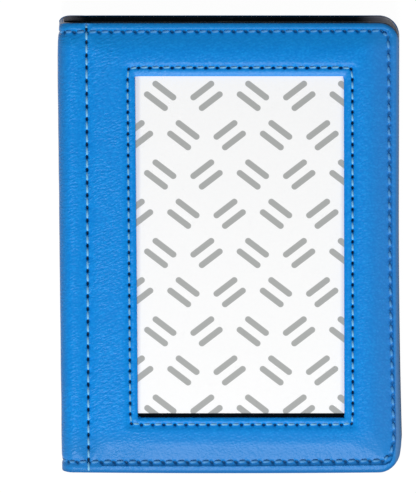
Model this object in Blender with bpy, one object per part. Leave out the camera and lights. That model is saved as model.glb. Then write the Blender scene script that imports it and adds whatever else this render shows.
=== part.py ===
"""Travel document cover: a padded leather wallet, sewn round its edges, that folds shut round a passport.

It lies closed on its back. +X points to the fore edge, +Y to the head and +Z up through the front cover.
Every layer is cut flat and then wrapped: s runs along the outside of the closed section from the middle
of the spine (front cover positive, back cover negative), v runs up the cover, and depth is measured
inwards from the outside.
"""

import math

import bmesh
import bpy

# Outside of the closed cover
COVER_WIDTH = 0.1040
COVER_HEIGHT = 0.1410
CLOSED_THICKNESS = 0.0125
FOLD_RADIUS = 0.0045
CORNER_RADIUS = 0.0059

# Layers of a cover, from the outside in
LEATHER = 0.0009
PADDING = 0.0012
BOARD = 0.0006
LINING = 0.0003
POCKET = 0.0004
GLUE_LINE = 0.00005

# Window in the front cover, and what is stuck to the board behind it
WINDOW_WIDTH = 0.0635
WINDOW_HEIGHT = 0.1066
WINDOW_FROM_SPINE = 0.0239
WINDOW_FROM_HEAD = 0.0167
WINDOW_CORNER = 0.0004
ADHESIVE_PAD = 0.00025
RELEASE_LINER = 0.00012
INSERT_CLEARANCE = 0.0003
INSERT_FOOT_GAP = 0.0009

# Seams: where they run, and the furrow that the thread pulls into the leather
EDGE_SEAM_INSET = 0.0032
FORE_SEAM_SHIFT = 0.0007
FORE_SEAM_REACH = 0.0120
HINGE_SEAM_FROM_SPINE = 0.0087
WINDOW_SEAM_MARGIN = 0.0025
FURROW_DEPTH = 0.0008
FURROW_HALF_WIDTH = 0.0005
PAD_SHOULDER = 0.0048
RIM_CREST_DEPTH = 0.00035
RIM_EDGE_DEPTH = 0.0006
WINDOW_SEAM_TURN = 0.0012
WINDOW_RING_REACH = 0.0060

# The spine has no padding: its ends are drawn in a little, with a narrow groove for the edge seam
SPINE_END_DROP = 0.0005
SPINE_END_REACH = 0.0120
SPINE_GROOVE = 0.00045
SPINE_GROOVE_SHOULDER = 0.0008

# Thread
THREAD_RADIUS = 0.0003
THREAD_LIFT = 0.00008
THREAD_CLEARANCE = 0.00005
EDGE_STITCH = 0.0037
HINGE_STITCH = 0.00395
WINDOW_STITCH = 0.0034

# Inside
BOARD_FROM_HINGE_SEAM = 0.0012
POCKET_WIDTH = 0.0550
POCKET_SLOT = 0.0003
POCKET_SEAM_ALLOWANCE = 0.0010
FOLD_GAP = 0.0002

# Steps that a curve is cut into, and where the lines up a shoulder lie
FOLD_STEPS = 3
SHOULDER_SHARES = (0, 0.4, 1)
MOST_OF_A_GAP = 0.45

# Places along the section, worked out from the sizes above
SPINE_HALF = CLOSED_THICKNESS / 2 - FOLD_RADIUS
FOLD_ARC = FOLD_RADIUS * math.pi / 2
FOLD_MIDDLE = SPINE_HALF + FOLD_ARC / 2
FOLD_END = SPINE_HALF + FOLD_ARC
FORE_EDGE = FOLD_END + COVER_WIDTH - FOLD_RADIUS
HINGE_SEAM = FOLD_END + HINGE_SEAM_FROM_SPINE - FOLD_RADIUS
BOARD_EDGE = HINGE_SEAM + BOARD_FROM_HINGE_SEAM
POCKET_MOUTH = FORE_EDGE - POCKET_WIDTH
HEAD = COVER_HEIGHT / 2

WINDOW_LEFT = FOLD_END + WINDOW_FROM_SPINE - FOLD_RADIUS
WINDOW_RIGHT = WINDOW_LEFT + WINDOW_WIDTH
WINDOW_TOP = HEAD - WINDOW_FROM_HEAD
WINDOW_BOTTOM = WINDOW_TOP - WINDOW_HEIGHT
WINDOW_MIDDLE_S = (WINDOW_LEFT + WINDOW_RIGHT) / 2
WINDOW_MIDDLE_V = (WINDOW_BOTTOM + WINDOW_TOP) / 2
PADDING_LIP = WINDOW_SEAM_MARGIN / 2

# Depths of the layers below the outside
PADDING_FLOOR = LEATHER + GLUE_LINE + PADDING
BOARD_FACE = PADDING_FLOOR + GLUE_LINE
BOARD_BACK = BOARD_FACE + BOARD
LINING_FACE = BOARD_BACK + GLUE_LINE
LINING_BACK = LINING_FACE + LINING
PAD_FACE = BOARD_FACE - GLUE_LINE - ADHESIVE_PAD
LINER_FACE = PAD_FACE - GLUE_LINE - RELEASE_LINER

# The leather bends about a line this far in from each outer corner of the spine, which keeps its length
FOLD_AXIS_INSET = FOLD_RADIUS * (1 - math.pi / 4)
FOLD_AXIS_X = FOLD_AXIS_INSET - COVER_WIDTH / 2
SPINE_FOLD_Z = FOLD_AXIS_INSET
COVER_FOLD_Z = CLOSED_THICKNESS - FOLD_AXIS_INSET

# Colours: red, green, blue
SKY_BLUE_LEATHER = (0.021, 0.245, 0.665)
BLACK_FABRIC = (0.012, 0.012, 0.014)
PALE_BLUE_THREAD = (0.43, 0.66, 0.92)
WHITE_FOAM = (0.72, 0.72, 0.70)
BLACK_BOARD = (0.010, 0.010, 0.011)
CLEAR_GLUE = (0.70, 0.68, 0.58)
WHITE_PAPER = (0.93, 0.93, 0.92)


def clear_scene():
    for old in list(bpy.data.objects):
        bpy.data.objects.remove(old, do_unlink=True)


def finish_material(name, colour, roughness):
    material = bpy.data.materials.new(name)
    material.use_nodes = True
    shader = material.node_tree.nodes["Principled BSDF"]
    shader.inputs["Base Color"].default_value = (*colour, 1)
    shader.inputs["Roughness"].default_value = roughness
    shader.inputs["Metallic"].default_value = 0
    return material


def turn_ring(first, second, ring_radius):
    """Insets from two sides, moved so that the corner of the square ring they lie on turns in an arc."""
    near, far = min(first, second), max(first, second)
    radius = ring_radius(near)
    if far - near >= radius:
        return first, second
    angle = math.pi / 4 * (1 + (far - near) / radius)
    near_inset = near + radius - radius * math.sin(angle)
    far_inset = near + radius - radius * math.cos(angle)
    return (near_inset, far_inset) if first <= second else (far_inset, near_inset)


def cover_ring(inset):
    return CORNER_RADIUS - inset


def window_ring(inset):
    """Rings round the window turn in wider arcs up to its seam, and square up again further out."""
    outset = -inset
    if outset <= WINDOW_SEAM_MARGIN:
        return WINDOW_CORNER + (WINDOW_SEAM_TURN - WINDOW_CORNER) * outset / WINDOW_SEAM_MARGIN
    return WINDOW_SEAM_TURN * (WINDOW_RING_REACH - outset) / (WINDOW_RING_REACH - WINDOW_SEAM_MARGIN)


def turn_window_corner(s, v):
    from_side = WINDOW_WIDTH / 2 - abs(s - WINDOW_MIDDLE_S)
    from_end = WINDOW_HEIGHT / 2 - abs(v - WINDOW_MIDDLE_V)
    if not -WINDOW_RING_REACH < min(from_side, from_end) <= 0:
        return s, v
    side, end = turn_ring(from_side, from_end, window_ring)
    s = WINDOW_MIDDLE_S + math.copysign(WINDOW_WIDTH / 2 - side, s - WINDOW_MIDDLE_S)
    v = WINDOW_MIDDLE_V + math.copysign(WINDOW_HEIGHT / 2 - end, v - WINDOW_MIDDLE_V)
    return s, v


def draw_fore_seam(from_fore, from_end):
    """Inset from the fore edge, once its seam is drawn nearer the edge than those at head and tail."""
    if from_fore <= EDGE_SEAM_INSET:
        share = from_fore / EDGE_SEAM_INSET
    else:
        share = max(0, 1 - (from_fore - EDGE_SEAM_INSET) / (FORE_SEAM_REACH - EDGE_SEAM_INSET))
    clear = min(1, max(0, (from_end - EDGE_SEAM_INSET) / (FORE_SEAM_REACH - EDGE_SEAM_INSET)))
    return from_fore - FORE_SEAM_SHIFT * share * clear * clear * (3 - 2 * clear)


def wrap(s, v, depth):
    """Place of a point of the flat layers on the closed cover."""
    from_end = HEAD - abs(v)
    from_fore = draw_fore_seam(FORE_EDGE - abs(s), from_end)
    from_fore, from_end = turn_ring(from_fore, from_end, cover_ring)
    along = FORE_EDGE - from_fore
    up = math.copysign(HEAD - from_end, v)
    if along <= SPINE_HALF:
        x = depth
        rise = along
    elif along < FOLD_END:
        angle = (along - SPINE_HALF) / FOLD_RADIUS
        x = FOLD_RADIUS - (FOLD_RADIUS - depth) * math.cos(angle)
        rise = SPINE_HALF + (FOLD_RADIUS - depth) * math.sin(angle)
    else:
        x = FOLD_RADIUS + along - FOLD_END
        rise = CLOSED_THICKNESS / 2 - depth
    return x - COVER_WIDTH / 2, up, CLOSED_THICKNESS / 2 + math.copysign(rise, s)


def wrap_round_window(s, v, depth):
    """The same for a layer whose window and window seam have rounded corners."""
    return wrap(*turn_window_corner(s, v), depth)


def furrow(distance):
    """Depth of the leather beside a seam: flat under the thread, then a soft shoulder up to the padding."""
    reach = min(1, max(0, (distance - FURROW_HALF_WIDTH) / PAD_SHOULDER))
    return FURROW_DEPTH * (1 - reach) ** 2


def rim(inset, seam_inset):
    """Depth of the narrow roll between a seam and the cut edge of the leather."""
    crest = seam_inset / 2
    if inset <= crest:
        return RIM_EDGE_DEPTH + (RIM_CREST_DEPTH - RIM_EDGE_DEPTH) * math.sin(math.pi / 2 * inset / crest)
    fall = min(1, (inset - crest) / (seam_inset - FURROW_HALF_WIDTH - crest))
    return RIM_CREST_DEPTH + (FURROW_DEPTH - RIM_CREST_DEPTH) * fall


def seam_depth(inset, seam_inset):
    if inset < seam_inset:
        return rim(inset, seam_inset)
    return furrow(inset - seam_inset)


def spine_surface(from_end):
    """Depth of the bare spine, which narrows towards its head and tail, with a groove for the thread."""
    drop = SPINE_END_DROP * (1 - min(1, from_end / SPINE_END_REACH)) ** 2
    beside = abs(from_end - EDGE_SEAM_INSET) - FURROW_HALF_WIDTH
    return drop + SPINE_GROOVE * (1 - min(1, max(0, beside / SPINE_GROOVE_SHOULDER))) ** 2


def plain_surface(s, v):
    """Depth of the leather's outside on the spine and the back cover."""
    from_end = HEAD - abs(v)
    padded = max(seam_depth(min(FORE_EDGE - abs(s), from_end), EDGE_SEAM_INSET),
                 furrow(abs(abs(s) - HINGE_SEAM)))
    round_fold = min(1, max(0, (abs(s) - SPINE_HALF) / FOLD_ARC))
    bare = spine_surface(from_end)
    return bare + (padded - bare) * round_fold


def window_outset(s, v):
    """Distance outside the window, measured square to its nearest side."""
    return max(WINDOW_LEFT - s, s - WINDOW_RIGHT, v - WINDOW_TOP, WINDOW_BOTTOM - v)


def front_surface(s, v):
    """Depth of the leather's outside on the front cover, with the seam round the window."""
    outset = max(0, window_outset(s, v))
    return max(plain_surface(s, v), seam_depth(outset, WINDOW_SEAM_MARGIN))


def shoulder(seam, neighbour):
    """Lines up the soft shoulder from a seam towards its neighbour, which stop short of the middle."""
    way = math.copysign(1, neighbour - seam)
    reach = min(PAD_SHOULDER, MOST_OF_A_GAP * abs(neighbour - seam) - FURROW_HALF_WIDTH)
    return [seam + way * (FURROW_HALF_WIDTH + reach * share) for share in SHOULDER_SHARES]


def rim_lines(edge, seam):
    """Lines from a cut edge up to the crest of its roll, half way to the seam, and down to the furrow."""
    way = math.copysign(1, seam - edge)
    crest = (edge + seam) / 2
    return [edge, (2 * edge + crest) / 3, crest, seam - way * FURROW_HALF_WIDTH]


def edge_lines(edge, neighbour):
    """Lines from a cut edge across its rim and seam to the padding."""
    way = math.copysign(1, neighbour - edge)
    seam = edge + way * EDGE_SEAM_INSET
    return rim_lines(edge, seam) + shoulder(seam, neighbour)


def window_lines(side, neighbour):
    """Lines from a side of the window out across its rim and seam to the padding."""
    way = math.copysign(1, neighbour - side)
    seam = side + way * WINDOW_SEAM_MARGIN
    return rim_lines(side, seam) + shoulder(seam, neighbour)


def sheet(name, s_lines, v_lines, outside, inside, hole=None):
    """A layer cut flat along its lines, given its two faces and wrapped round the cover."""
    lay = wrap_round_window if hole else wrap
    s_lines, v_lines = sorted(s_lines), sorted(v_lines)
    bm = bmesh.new()
    columns, rows = len(s_lines) - 1, len(v_lines) - 1
    bmesh.ops.create_grid(bm, x_segments=columns, y_segments=rows, size=1)
    for vert in bm.verts:
        column = round((vert.co.x + 1) / 2 * columns)
        row = round((vert.co.y + 1) / 2 * rows)
        vert.co = (s_lines[column], v_lines[row], 0)
    if hole:
        left, right, bottom, top = hole
        middles = [(face, face.calc_center_median()) for face in bm.faces]
        cut = [face for face, middle in middles if left < middle.x < right and bottom < middle.y < top]
        bmesh.ops.delete(bm, geom=cut, context="FACES")
    bmesh.ops.triangulate(bm, faces=bm.faces[:], quad_method="FIXED")
    bmesh.ops.solidify(bm, geom=bm.faces[:], thickness=1)
    for vert in bm.verts:
        face_depth = inside if abs(vert.co.z) > 0.5 else outside
        depth = face_depth(vert.co.x, vert.co.y) if callable(face_depth) else face_depth
        vert.co = lay(vert.co.x, vert.co.y, depth)
    bmesh.ops.recalc_face_normals(bm, faces=bm.faces[:])
    mesh = bpy.data.meshes.new(name)
    bm.to_mesh(mesh)
    bm.free()
    piece = bpy.data.objects.new(name, mesh)
    bpy.context.collection.objects.link(piece)
    return piece


def flat_sheet(name, s_lines, v_lines, outside, inside):
    """A layer with no crown: its coplanar cells are joined again once the corners are round."""
    piece = sheet(name, s_lines, v_lines, outside, inside)
    bm = bmesh.new()
    bm.from_mesh(piece.data)
    bmesh.ops.dissolve_limit(bm, angle_limit=math.radians(0.5), verts=bm.verts[:], edges=bm.edges[:])
    bm.to_mesh(piece.data)
    bm.free()
    return piece


def stitched_line(corners, pitch):
    """Points along straight runs of a seam, up over each stitch and down at each needle hole."""
    points = []
    for (s0, v0), (s1, v1) in zip(corners, corners[1:]):
        stitches = max(1, round(math.hypot(s1 - s0, v1 - v0) / pitch))
        for step in range(2 * stitches):
            share = step / (2 * stitches)
            points.append((s0 + (s1 - s0) * share, v0 + (v1 - v0) * share, step % 2))
    return points + [(*corners[-1], 0)]


def thread(name, corners, pitch, surface, closed=False):
    """Sewing thread lying in its furrow as one unbroken tube."""
    curve = bpy.data.curves.new(name, "CURVE")
    curve.dimensions = "3D"
    curve.twist_mode = "Z_UP"
    curve.bevel_depth = THREAD_RADIUS
    curve.bevel_resolution = 0
    curve.use_fill_caps = True
    points = stitched_line(corners, pitch)
    lay = wrap_round_window if closed else wrap
    if closed:
        points.pop()
    spline = curve.splines.new("POLY")
    spline.points.add(len(points) - 1)
    for point, (s, v, lifted) in zip(spline.points, points):
        depth = surface(s, v) - THREAD_CLEARANCE - THREAD_RADIUS - THREAD_LIFT * lifted
        point.co = (*lay(s, v, depth), 1)
    spline.use_cyclic_u = closed
    piece = bpy.data.objects.new(name, curve)
    bpy.context.collection.objects.link(piece)
    return piece


def leather_inside(surface):
    return lambda s, v: surface(s, v) + LEATHER


def under_leather(surface):
    return lambda s, v: surface(s, v) + LEATHER + GLUE_LINE


def lining_face(s, v):
    """The lining hugs the leather round the fold and climbs on to the board past the hinge seam."""
    hug = plain_surface(s, v) + LEATHER + GLUE_LINE
    climb = min(1, max(0, (abs(s) - FOLD_END) / (BOARD_EDGE - FOLD_END)))
    return hug + (LINING_FACE - hug) * climb


def lining_back(s, v):
    return lining_face(s, v) + LINING


def spine_lining_face(s, v):
    return plain_surface(s, v) + LEATHER + GLUE_LINE


def spine_lining_back(s, v):
    return spine_lining_face(s, v) + LINING


def pocket_face(s, v):
    """The pocket lies on the lining along its seam and stands off it by the slot for the passport."""
    from_edge = min(FORE_EDGE - abs(s), HEAD - abs(v))
    sewn = from_edge <= EDGE_SEAM_INSET + POCKET_SEAM_ALLOWANCE
    return LINING_BACK + (GLUE_LINE if sewn else POCKET_SLOT)


def pocket_back(s, v):
    return pocket_face(s, v) + POCKET


def lines_up_cover():
    drawn_in = HEAD - SPINE_END_REACH
    return edge_lines(HEAD, 0) + edge_lines(-HEAD, 0) + [drawn_in, -drawn_in]


def steps(start, end):
    return [start + (end - start) * step / FOLD_STEPS for step in range(FOLD_STEPS + 1)]


def lines_round_fold():
    """The half of a fold that belongs to a cover, up to where the cover turns flat."""
    return steps(FOLD_MIDDLE + FOLD_GAP / 2, FOLD_END)


def lines_beside_hinge(neighbour):
    return shoulder(HINGE_SEAM, FOLD_END - FURROW_HALF_WIDTH) + shoulder(HINGE_SEAM, neighbour)


def mirror_to_back(lines):
    return [-line for line in lines]


def front_lines():
    seam_left = WINDOW_LEFT - WINDOW_SEAM_MARGIN
    seam_right = WINDOW_RIGHT + WINDOW_SEAM_MARGIN
    across = lines_round_fold() + lines_beside_hinge(seam_left)
    across += window_lines(WINDOW_LEFT, HINGE_SEAM)
    across += window_lines(WINDOW_RIGHT, FORE_EDGE - EDGE_SEAM_INSET)
    across += edge_lines(FORE_EDGE, seam_right)
    up = window_lines(WINDOW_TOP, HEAD - EDGE_SEAM_INSET)
    up += window_lines(WINDOW_BOTTOM, EDGE_SEAM_INSET - HEAD)
    up += edge_lines(HEAD, WINDOW_TOP + WINDOW_SEAM_MARGIN)
    up += edge_lines(-HEAD, WINDOW_BOTTOM - WINDOW_SEAM_MARGIN)
    return across, up


def plain_lines():
    across = lines_round_fold() + lines_beside_hinge(FORE_EDGE - EDGE_SEAM_INSET)
    across += edge_lines(FORE_EDGE, HINGE_SEAM)
    return across, lines_up_cover()


def from_hinge(lines):
    """The part of a cover's lines that lies past the hinge seam, where the padding starts."""
    return [line for line in lines if line > HINGE_SEAM]


def from_board(lines):
    return [BOARD_EDGE] + [line for line in lines if line > BOARD_EDGE]


def edge_corners(side):
    """Corners of the seam round a cover's three free sides, from the fold to the fold again."""
    start = side * (FOLD_MIDDLE + FOLD_GAP / 2 + THREAD_RADIUS)
    fore = side * (FORE_EDGE - EDGE_SEAM_INSET)
    head = HEAD - EDGE_SEAM_INSET
    return [(start, head), (fore, head), (fore, -head), (start, -head)]


def hinge_corners(side):
    """The hinge seam, which stops short of the thread of the edge seam that it crosses."""
    end = HEAD - EDGE_SEAM_INSET - 2 * THREAD_RADIUS - THREAD_CLEARANCE
    return [(side * HINGE_SEAM, end), (side * HINGE_SEAM, -end)]


def make_front(finish):
    across, up = front_lines()
    window = (WINDOW_LEFT, WINDOW_RIGHT, WINDOW_BOTTOM, WINDOW_TOP)
    padding_hole = (WINDOW_LEFT - PADDING_LIP, WINDOW_RIGHT + PADDING_LIP,
                    WINDOW_BOTTOM - PADDING_LIP, WINDOW_TOP + PADDING_LIP)
    insert_s = [WINDOW_LEFT + INSERT_CLEARANCE, WINDOW_RIGHT - INSERT_CLEARANCE]
    insert_v = [WINDOW_BOTTOM + INSERT_FOOT_GAP, WINDOW_TOP - INSERT_CLEARANCE]
    plain_across = plain_lines()[0]
    seam_left, seam_right = WINDOW_LEFT - WINDOW_SEAM_MARGIN, WINDOW_RIGHT + WINDOW_SEAM_MARGIN
    seam_top, seam_bottom = WINDOW_TOP + WINDOW_SEAM_MARGIN, WINDOW_BOTTOM - WINDOW_SEAM_MARGIN
    window_seam = [(seam_left, seam_top), (seam_right, seam_top), (seam_right, seam_bottom),
                   (seam_left, seam_bottom), (seam_left, seam_top)]
    pieces = {
        "front_leather": sheet("front_leather", across, up, front_surface,
                               leather_inside(front_surface), window),
        "front_padding": sheet("front_padding", from_hinge(across), up, under_leather(front_surface),
                               PADDING_FLOOR, padding_hole),
        "front_board": flat_sheet("front_board", from_board(plain_across), up, BOARD_FACE, BOARD_BACK),
        "adhesive_pad": sheet("adhesive_pad", insert_s, insert_v, PAD_FACE, BOARD_FACE - GLUE_LINE),
        "release_liner": sheet("release_liner", insert_s, insert_v, LINER_FACE, PAD_FACE - GLUE_LINE),
        "front_lining": sheet("front_lining", plain_across + [BOARD_EDGE], up, lining_face, lining_back),
        "front_pocket": make_pocket("front_pocket", 1),
        "front_edge_thread": thread("front_edge_thread", edge_corners(1), EDGE_STITCH, plain_surface),
        "front_hinge_thread": thread("front_hinge_thread", hinge_corners(1), HINGE_STITCH, plain_surface),
        "window_thread": thread("window_thread", window_seam, WINDOW_STITCH, front_surface, closed=True),
    }
    give_finish(pieces, finish)
    return list(pieces.values())


def make_pocket(name, side):
    band = EDGE_SEAM_INSET + POCKET_SEAM_ALLOWANCE
    bend = POCKET_SLOT + POCKET
    corner_insets = [0, EDGE_SEAM_INSET / 2, EDGE_SEAM_INSET, band, band + bend]
    across = [side * (FORE_EDGE - inset) for inset in corner_insets] + [side * POCKET_MOUTH]
    up = [end * (HEAD - inset) for inset in corner_insets for end in (1, -1)]
    return sheet(name, across, up, pocket_face, pocket_back)


def make_spine(finish):
    fold = FOLD_MIDDLE - FOLD_GAP / 2
    across = steps(SPINE_HALF, fold) + steps(-SPINE_HALF, -fold)
    up = lines_up_cover()
    reach = fold - THREAD_RADIUS
    head = HEAD - EDGE_SEAM_INSET
    pieces = {
        "spine_leather": sheet("spine_leather", across, up, plain_surface, leather_inside(plain_surface)),
        "spine_lining": sheet("spine_lining", across, up, spine_lining_face, spine_lining_back),
        "spine_head_thread": thread("spine_head_thread", [(-reach, head), (reach, head)],
                                    EDGE_STITCH, plain_surface),
        "spine_tail_thread": thread("spine_tail_thread", [(-reach, -head), (reach, -head)],
                                    EDGE_STITCH, plain_surface),
    }
    give_finish(pieces, finish)
    return list(pieces.values())


def make_back(finish):
    across, up = plain_lines()
    back = mirror_to_back(across)
    pieces = {
        "back_leather": sheet("back_leather", back, up, plain_surface, leather_inside(plain_surface)),
        "back_padding": sheet("back_padding", mirror_to_back(from_hinge(across)), up,
                              under_leather(plain_surface), PADDING_FLOOR),
        "back_board": flat_sheet("back_board", mirror_to_back(from_board(across)), up,
                                 BOARD_FACE, BOARD_BACK),
        "back_lining": sheet("back_lining", mirror_to_back(across + [BOARD_EDGE]), up,
                             lining_face, lining_back),
        "back_pocket": make_pocket("back_pocket", -1),
        "back_edge_thread": thread("back_edge_thread", edge_corners(-1), EDGE_STITCH, plain_surface),
        "back_hinge_thread": thread("back_hinge_thread", hinge_corners(-1), HINGE_STITCH, plain_surface),
    }
    give_finish(pieces, finish)
    return list(pieces.values())


def give_finish(pieces, finish):
    """Each piece takes its own copy of the finish that the end of its name calls for."""
    for name, piece in pieces.items():
        kind = name.split("_")[-1]
        material = finish[kind].copy()
        material.name = name
        piece.data.materials.append(material)


def fold_line(name, z):
    """Empty on the line that a fold turns about."""
    line = bpy.data.objects.new(name, None)
    line.empty_display_size = FOLD_RADIUS
    line.location = (FOLD_AXIS_X, 0, z)
    bpy.context.collection.objects.link(line)
    return line


def hang_on(pieces, line):
    for piece in pieces:
        piece.parent = line
        piece.location = (-FOLD_AXIS_X, 0, -line.location.z)


def main():
    clear_scene()
    finish = {
        "leather": finish_material("leather", SKY_BLUE_LEATHER, 0.5),
        "lining": finish_material("lining", BLACK_FABRIC, 0.85),
        "pocket": finish_material("pocket", BLACK_FABRIC, 0.7),
        "thread": finish_material("thread", PALE_BLUE_THREAD, 0.6),
        "padding": finish_material("padding", WHITE_FOAM, 0.9),
        "board": finish_material("board", BLACK_BOARD, 0.8),
        "pad": finish_material("pad", CLEAR_GLUE, 0.3),
        "liner": finish_material("liner", WHITE_PAPER, 0.45),
    }
    make_back(finish)
    spine = make_spine(finish)
    front = make_front(finish)
    spine_fold = fold_line("spine_fold", SPINE_FOLD_Z)
    cover_fold = fold_line("cover_fold", COVER_FOLD_Z)
    hang_on(spine, spine_fold)
    hang_on(front, cover_fold)
    cover_fold.parent = spine_fold
    cover_fold.location = (0, 0, COVER_FOLD_Z - SPINE_FOLD_Z)


main()
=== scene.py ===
"""Looks of the travel document cover: sewn padded leather, black edges and lining, paper in its window.

Every layer is cut flat and then laid round the closed cover: s runs along the outside of the section from
the middle of the spine (front cover positive, back cover negative), v runs up the cover, and depth is
measured inwards from the outside. All sizes are in metres.
"""

import math
from functools import partialmethod
from typing import NamedTuple

import bmesh
import bpy
from mathutils import Matrix, Vector, noise
from mathutils.kdtree import KDTree


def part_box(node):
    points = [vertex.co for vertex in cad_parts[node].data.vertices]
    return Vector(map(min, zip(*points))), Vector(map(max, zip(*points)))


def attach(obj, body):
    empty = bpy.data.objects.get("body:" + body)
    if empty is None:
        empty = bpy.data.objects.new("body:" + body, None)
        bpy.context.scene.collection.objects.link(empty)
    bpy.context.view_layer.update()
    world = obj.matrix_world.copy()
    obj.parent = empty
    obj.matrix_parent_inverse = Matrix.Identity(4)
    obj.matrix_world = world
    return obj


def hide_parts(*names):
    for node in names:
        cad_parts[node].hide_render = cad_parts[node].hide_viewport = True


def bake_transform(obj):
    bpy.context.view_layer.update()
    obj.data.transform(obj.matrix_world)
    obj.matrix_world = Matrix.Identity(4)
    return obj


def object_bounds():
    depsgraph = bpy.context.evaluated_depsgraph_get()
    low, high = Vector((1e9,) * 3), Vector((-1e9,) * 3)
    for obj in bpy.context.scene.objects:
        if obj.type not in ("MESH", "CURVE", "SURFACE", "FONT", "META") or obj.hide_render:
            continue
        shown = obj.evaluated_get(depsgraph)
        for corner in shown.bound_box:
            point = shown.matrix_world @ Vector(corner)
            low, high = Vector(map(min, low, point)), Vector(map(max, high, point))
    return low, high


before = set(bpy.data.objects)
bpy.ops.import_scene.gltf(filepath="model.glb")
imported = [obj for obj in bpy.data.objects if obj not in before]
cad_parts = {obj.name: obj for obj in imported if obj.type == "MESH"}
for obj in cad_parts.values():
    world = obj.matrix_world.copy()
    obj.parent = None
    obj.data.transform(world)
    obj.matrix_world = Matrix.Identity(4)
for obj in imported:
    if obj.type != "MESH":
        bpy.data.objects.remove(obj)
CAD_LOW, CAD_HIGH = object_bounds()

# Outside of the closed cover
COVER_WIDTH = CAD_HIGH.x - CAD_LOW.x
COVER_HEIGHT = CAD_HIGH.y - CAD_LOW.y
THICKNESS = CAD_HIGH.z - CAD_LOW.z
FOLD_RADIUS = 0.0045
CORNER_RADIUS = 0.0059
CORNER_TIGHTENING = 1.5

# Layers of a cover, from the outside in
LEATHER = 0.0009
PADDING = 0.0012
BOARD = 0.0006
LINING = 0.0003
POCKET = 0.0004
GLUE_LINE = 0.00005

# Window in the front cover, and the paper in it, which reaches a little way under the leather
WINDOW_WIDTH = 0.0635
WINDOW_HEIGHT = 0.1066
WINDOW_FROM_SPINE = 0.0239
WINDOW_FROM_HEAD = 0.0167
WINDOW_CORNER = 0.0004
PAPER = 0.00012
PAPER_LAP = 0.0008
PAPER_WAVE = 0.00005
PAPER_WAVE_LENGTH = 0.017

# Seams: where they run, and how the leather sinks towards them. A pair is for head and tail.
EDGE_SEAM_INSET = 0.0032
FORE_SEAM_SHIFT = 0.0001, 0.0010
FORE_SEAM_REACH = 0.0120
HINGE_SEAM_FROM_SPINE = 0.0087
WINDOW_SEAM_MARGIN = 0.0025
WINDOW_SEAM_TURN = 0.0012
WINDOW_RING_REACH = 0.0060
FURROW_DEPTH = 0.0008
FURROW_HALF_WIDTH = 0.0005
HINGE_SHOULDER = 0.0048
RIM_CREST_DEPTH = 0.00036, 0.00042
RIM_CREST = 0.62, 0.67
RIM_EDGE_DEPTH = 0.0006, 0.00117
WINDOW_FURROW_DEPTH = 0.00056
WINDOW_SHOULDER = 0.0028
LIP_CREST_DEPTH = 0.00025
LIP_EDGE_DEPTH = 0.0007
LIP_CREST = 0.84, 0.56
LIP_HEAD_RISE = 0.00013
LIP_FOOT_DROP = 0.00035
LIP_LEFT_SHIFT = 0.0002
CUT_EDGE_ROUNDING = 0.0003
THIN_EDGE_ROUNDING = 0.0001
POCKET_EDGE_ROUNDING = 0.00012
# How far in from the cut edge the rim takes edge paint and painted shade, wider over the back's fold
RIM_PAINT_AND_SHADE_WIDTH = 0.0017
BACK_FOLD_PAINT_AND_SHADE_WIDTH = 0.0024

# From the crown round the window the padding falls to the edge seam in one long slope
LONG_SLOPE = 0.172
LONG_SLOPE_END = 0.0052
LONG_SLOPE_CROWN = 0.0078
LONG_SLOPE_BLEND = 0.0060
RIDGE_SOFTNESS = 0.0002
CORNER_SOFTNESS = 1.2

# The seams of the real cover wander a little off its outline
SEAM_RISE = 0.00038, 0.00018
END_SEAM_SLANT = 0.0036
WINDOW_SEAM_SHIFT = 0.0001
WINDOW_SEAM_RISE = 0.00035
SPINE_LEAN = 0.0085
HINGE_LEAN = 0.0035
COVER_LEAN = 0.0072
TAIL_BELLY = 0.0003
TAIL_BELLY_REACH = 0.0150
FORE_FLARE = 0.0011
FORE_FLARE_FROM_TAIL = 0.0100
FORE_FLARE_START = 0.0850

# The bare spine narrows towards its ends, with a narrow groove for the edge seam
SPINE_END_DROP = 0.0008
SPINE_TAIL_DROP = 0.0001
SPINE_END_REACH = 0.0120
SPINE_GROOVE = 0.00045
SPINE_GROOVE_SHOULDER = 0.0008

# The fold draws the head end of the spine down a little, which rounds that corner of the cover
HEAD_DROP = 0.0014
HEAD_DROP_WIDTH = 0.0038
HEAD_DROP_REACH = 0.0120
HEAD_DROP_POWER = 2.5

# The padding's crowns lift a little unevenly
CROWN_UNEVENNESS = 0.00006
CROWN_PATCH = 0.011

# Stitches
EDGE_STITCH = 0.0038
HINGE_STITCH = 0.00398
WINDOW_STITCH = 0.0034
HINGE_HOLE_FROM_HEAD = 0.0022
HINGE_HOLE_FROM_TAIL = 0.0040
THREAD_FLATNESS = 0.62
THREAD_SINK = 0.00034
THREAD_RISE = 0.00017
SPINE_THREAD_SINK = 0.00024
NEEDLE_DROP = 0.00004
HOLE_DEPTH = 0.00055
HOLE_REFINED = 0.00075
DIMPLE_DEPTH = 0.00012
DIMPLE_REACH = 0.0011
HOLE_STEEPNESS = 2.2
STITCH_BOW = 2.6
THREAD_BLUNTNESS = 1.6

# Inside
BOARD_FROM_HINGE_SEAM = 0.0012
POCKET_WIDTH = 0.0550
POCKET_SLOT = 0.0003
POCKET_LIFT_REACH = 0.0012
POCKET_SEAM_ALLOWANCE = 0.0010
POCKET_HEM = 0.0045
POCKET_HEM_RISE = 0.00022
POCKET_HEM_STEP = 0.0006

# Print on the release paper
PRINT_ROW = 0.0123
PRINT_COLUMN = 0.0142
BAR_LENGTH = 0.0088
BAR_WIDTH = 0.0019
BAR_SPACING = 0.0042
BAR_LEAN = math.radians(38)
BAR_BLUR = 0.00012

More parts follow.
